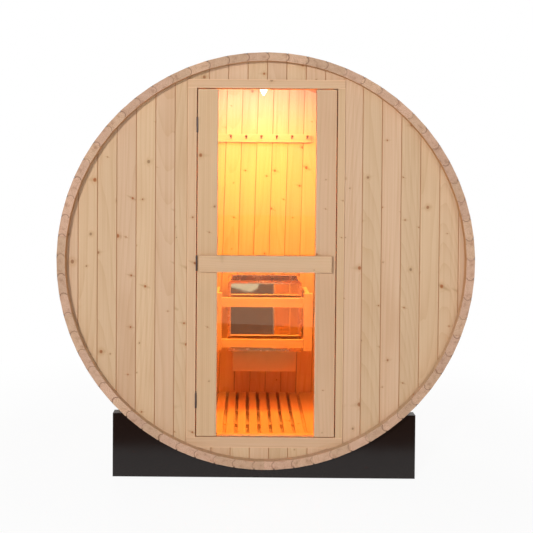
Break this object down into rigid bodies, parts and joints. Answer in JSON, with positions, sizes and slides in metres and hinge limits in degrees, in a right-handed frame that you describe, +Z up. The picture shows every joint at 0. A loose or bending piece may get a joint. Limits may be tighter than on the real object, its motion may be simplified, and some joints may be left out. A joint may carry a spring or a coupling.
{
  "type": "barrel sauna",
  "caption": "Round timber cabin of bead-and-cove staves lying on two black cradles, with a full-height glazed hinged door, slatted floor and wall-hung stove.",
  "frame": {"origin": "on the ground under the middle of the barrel", "axes": "+X to the right of someone facing the door, +Y in through the door along the barrel, +Z up"},
  "size_m": [1.803, 1, 1.8618],
  "materials": {
    "stave_wood": "planed softwood, end grain a little pinker",
    "wall_wood": "planed softwood with knots",
    "frame_wood": "planed softwood",
    "door_wood": "planed softwood",
    "door_glass": "clear toughened",
    "hinge_metal": "dark satin",
    "hoop_steel": "satin stainless",
    "cradle_black": "gloss black coating on timber panel",
    "floor_wood": "planed softwood",
    "rail_wood": "planed softwood",
    "peg_wood": "turned wood",
    "stove_steel": "polished stainless",
    "stove_stones": "dark broken stone",
    "guard_wood": "planed softwood",
    "lamp_base": "white glazed",
    "lamp_glass": "frosted, lit from inside"
  },
  "bodies": {
    "cabin": {"door_head": "frame_wood", "door_jamb_free_side": "frame_wood", "door_jamb_hinge_side": "frame_wood", "door_sill": "frame_wood", "floor_battens": "floor_wood", "floor_front_board": "floor_wood", "floor_slats": "floor_wood", "front_cradle": "cradle_black", "front_hoop": "hoop_steel", "front_wall_bottom": "wall_wood", "front_wall_left": "wall_wood", "front_wall_right": "wall_wood", "front_wall_top": "wall_wood", "guard_front_rails": "guard_wood", "guard_posts": "guard_wood", "guard_side_rails": "guard_wood", "hinge_frame_plates": "hinge_metal", "hinge_pins": "hinge_metal", "hook_pegs": "peg_wood", "hook_rail": "rail_wood", "hoop_bolts": "hoop_steel", "lamp_base": "lamp_base", "lamp_glass": "lamp_glass", "rear_cradle": "cradle_black", "rear_hoop": "hoop_steel", "rear_wall": "wall_wood", "stave_group_1": "stave_wood", "stave_group_2": "stave_wood", "stave_group_3": "stave_wood", "stave_group_4": "stave_wood", "stave_group_5": "stave_wood", "stove_base": "stove_steel", "stove_body": "stove_steel", "stove_brackets": "stove_steel", "stove_stones": "stove_stones"},
    "door": {"door_hinge_stile": "door_wood", "door_free_stile": "door_wood", "door_glass": "door_glass", "door_cross_bar": "door_wood", "hinge_leaf_plates": "hinge_metal"}
  },
  "joints": [
    {"name": "door_hinge", "type": "hinge", "parent": "cabin", "child": "door", "pos_m": [-0.2985, -0.4756, 0.96], "axis": [0, 0, -1], "range_deg": [0, 100]}
  ]
}
